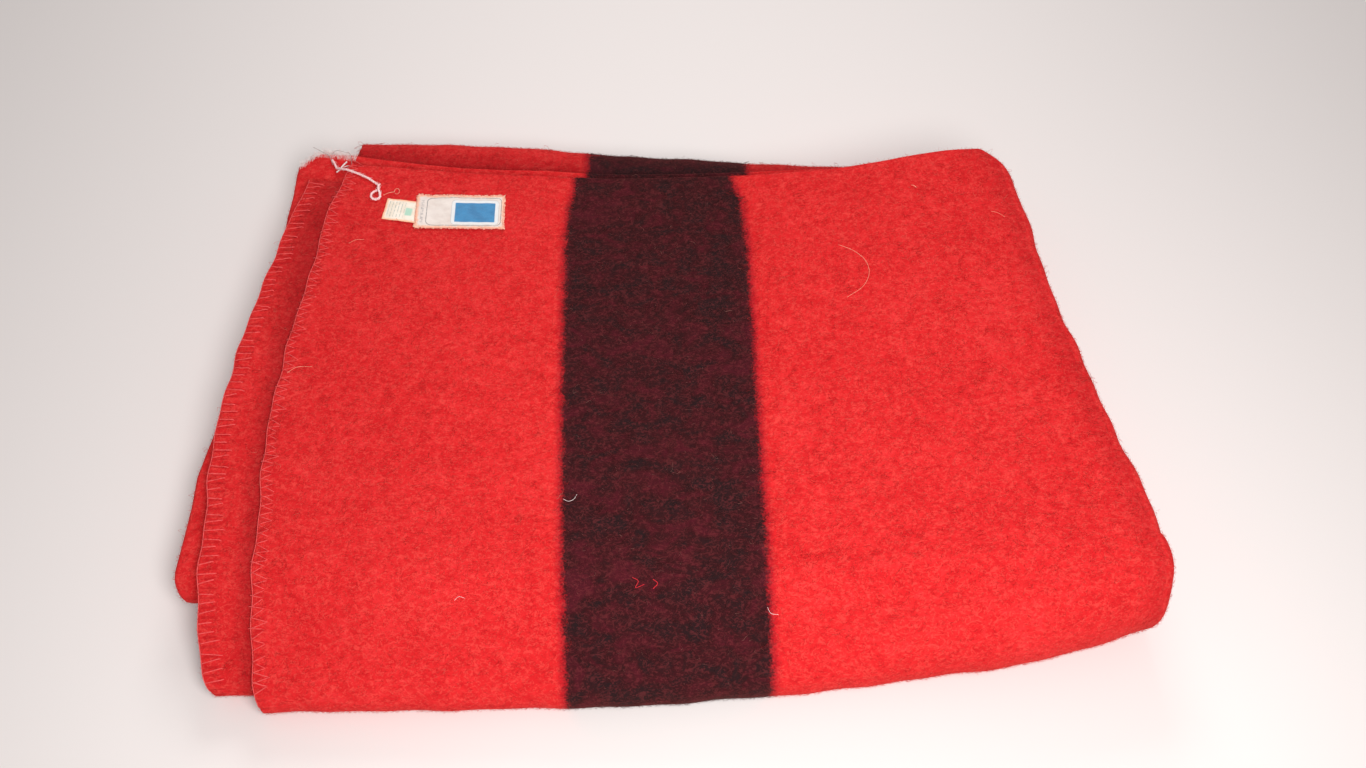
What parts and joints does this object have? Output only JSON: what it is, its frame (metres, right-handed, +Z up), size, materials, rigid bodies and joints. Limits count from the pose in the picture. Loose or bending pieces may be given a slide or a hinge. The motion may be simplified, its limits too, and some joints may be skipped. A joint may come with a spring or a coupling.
{
  "type": "folded blanket",
  "caption": "Thick wool blanket folded in quarters both ways into a flat pile, with a dark band, a sewn label and a care tag near one corner.",
  "frame": {"origin": "centre of the pile's bounding box, on the plane of its underside", "axes": "+X along the pile's long side, towards the side folds; +Y from the near fold to the selvedge side with the label; +Z up"},
  "size_m": [0.68, 0.5222, 0.0932],
  "materials": {
    "scarlet_wool": "napped wool, scarlet, with a dark maroon band woven in near each end of the cloth",
    "woven_label": "woven cream label",
    "care_tag": "printed off-white tag",
    "white_yarn": "loose plied wool yarn"
  },
  "bodies": {
    "root": {"blanket": "scarlet_wool", "main_label": "woven_label", "care_tag": "care_tag", "yarn_tail": "white_yarn"}
  },
  "joints": []
}
